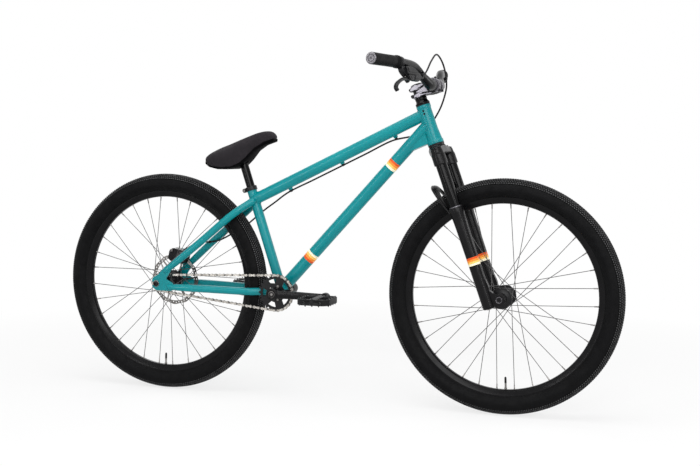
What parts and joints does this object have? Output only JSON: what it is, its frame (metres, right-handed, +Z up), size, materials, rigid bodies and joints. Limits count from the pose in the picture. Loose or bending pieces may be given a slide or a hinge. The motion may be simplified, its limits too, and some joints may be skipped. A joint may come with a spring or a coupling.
{
  "type": "dirt jump bike",
  "caption": "Hardtail dirt jump bike with a steel frame, suspension fork, single-speed chain drive, rear disc brake and a low padded saddle.",
  "frame": {"origin": "on the ground, midway along the length and the width", "axes": "+X towards the front wheel, +Y to the rider's left, +Z up"},
  "size_m": [1.7216, 0.7886, 1.0122],
  "materials": {
    "frame_paint": "gloss teal paint with plain stripes",
    "black_paint": "gloss black paint",
    "black_anodised": "black anodised",
    "grey_anodised": "satin grey",
    "bare_steel": "bright steel",
    "spoke_steel": "black oxide",
    "tyre_rubber": "matte black rubber with a fine tread",
    "grip_rubber": "smooth black rubber",
    "saddle_fabric": "black woven cover",
    "saddle_shell": "black moulded shell"
  },
  "bodies": {
    "frame": {"head_tube": "frame_paint", "top_tube": "frame_paint", "down_tube": "frame_paint", "head_gusset": "frame_paint", "seat_tube": "frame_paint", "bottom_bracket_shell": "frame_paint", "chainstay_right": "frame_paint", "chainstay_left": "frame_paint", "seatstay_right": "frame_paint", "seatstay_left": "frame_paint", "dropout_right": "frame_paint", "dropout_left": "frame_paint", "headset_upper_cup": "black_anodised", "headset_lower_cup": "black_anodised", "bottom_bracket_bearing_right": "black_anodised", "bottom_bracket_bearing_left": "black_anodised", "seat_clamp": "black_anodised", "seatpost": "black_paint", "saddle_base": "saddle_shell", "saddle": "saddle_fabric", "rear_caliper": "black_anodised", "brake_hose": "grip_rubber", "rear_axle": "bare_steel", "axle_bolt_right": "bare_steel", "axle_bolt_left": "bare_steel", "chain": "bare_steel"},
    "steering": {"fork_crown": "black_paint", "stanchion_right": "black_anodised", "stanchion_left": "black_anodised", "headset_cover": "black_anodised", "stem_body": "grey_anodised", "stem_faceplate": "grey_anodised", "stem_top_cap": "black_anodised", "handlebar": "black_paint", "grip_right": "grip_rubber", "grip_left": "grip_rubber", "brake_master": "black_anodised"},
    "brake_lever": {"brake_lever_blade": "black_anodised"},
    "fork_lowers": {"fork_lowers": "black_paint", "front_axle": "black_anodised"},
    "front_wheel": {"front_tyre": "tyre_rubber", "front_rim": "black_anodised", "front_hub": "black_anodised", "front_spokes_right": "spoke_steel", "front_spokes_left": "spoke_steel"},
    "rear_wheel": {"rear_tyre": "tyre_rubber", "rear_rim": "black_anodised", "rear_hub": "black_anodised", "rear_spokes_right": "spoke_steel", "rear_spokes_left": "spoke_steel", "brake_rotor": "bare_steel"},
    "driver": {"rear_cog": "bare_steel"},
    "crank": {"crank_spindle": "bare_steel", "crank_arm_right": "black_paint", "crank_arm_left": "black_paint", "chainring": "black_anodised", "pedal_axle_right": "bare_steel", "pedal_axle_left": "bare_steel"},
    "pedal_right": {"pedal_right": "black_paint"},
    "pedal_left": {"pedal_left": "black_paint"}
  },
  "joints": [
    {"name": "steer", "type": "hinge", "parent": "frame", "child": "steering", "pos_m": [0.32661, 0, 0.76261], "axis": [-0.3355, 0, 0.9421], "range_deg": [-80, 80], "deforming": ["brake_hose"]},
    {"name": "fork_travel", "type": "slide", "parent": "steering", "child": "fork_lowers", "axis": [-0.3355, 0, 0.9421], "range_m": [0, 0.1], "stiffness_N_per_m": 8000, "springref_m": -0.02},
    {"name": "front_wheel_spin", "type": "hinge", "parent": "fork_lowers", "child": "front_wheel", "pos_m": [0.527, 0, 0.334], "axis": [0, 1, 0], "continuous": true},
    {"name": "rear_wheel_spin", "type": "hinge", "parent": "frame", "child": "rear_wheel", "pos_m": [-0.527, 0, 0.334], "axis": [0, 1, 0], "continuous": true},
    {"name": "crank_spin", "type": "hinge", "parent": "frame", "child": "crank", "pos_m": [-0.14225, 0, 0.32], "axis": [0, 1, 0], "continuous": true},
    {"name": "cog_spin", "type": "hinge", "parent": "frame", "child": "driver", "pos_m": [-0.527, 0, 0.334], "axis": [0, 1, 0], "continuous": true},
    {"name": "pedal_right_spin", "type": "hinge", "parent": "crank", "child": "pedal_right", "pos_m": [0.02273, -0.146, 0.31798], "axis": [0, 1, 0], "continuous": true},
    {"name": "pedal_left_spin", "type": "hinge", "parent": "crank", "child": "pedal_left", "pos_m": [-0.30724, 0.146, 0.32202], "axis": [0, 1, 0], "continuous": true},
    {"name": "lever_pull", "type": "hinge", "parent": "steering", "child": "brake_lever", "pos_m": [0.30456, -0.21972, 0.9324], "axis": [-0.921, 0.2102, -0.328], "range_deg": [0, 22], "stiffness_Nm_per_rad": 0.6, "springref_deg": -11.46}
  ],
  "couplings": [
    {"joint": "cog_spin", "follows": "crank_spin", "ratio": 2.1667}
  ]
}
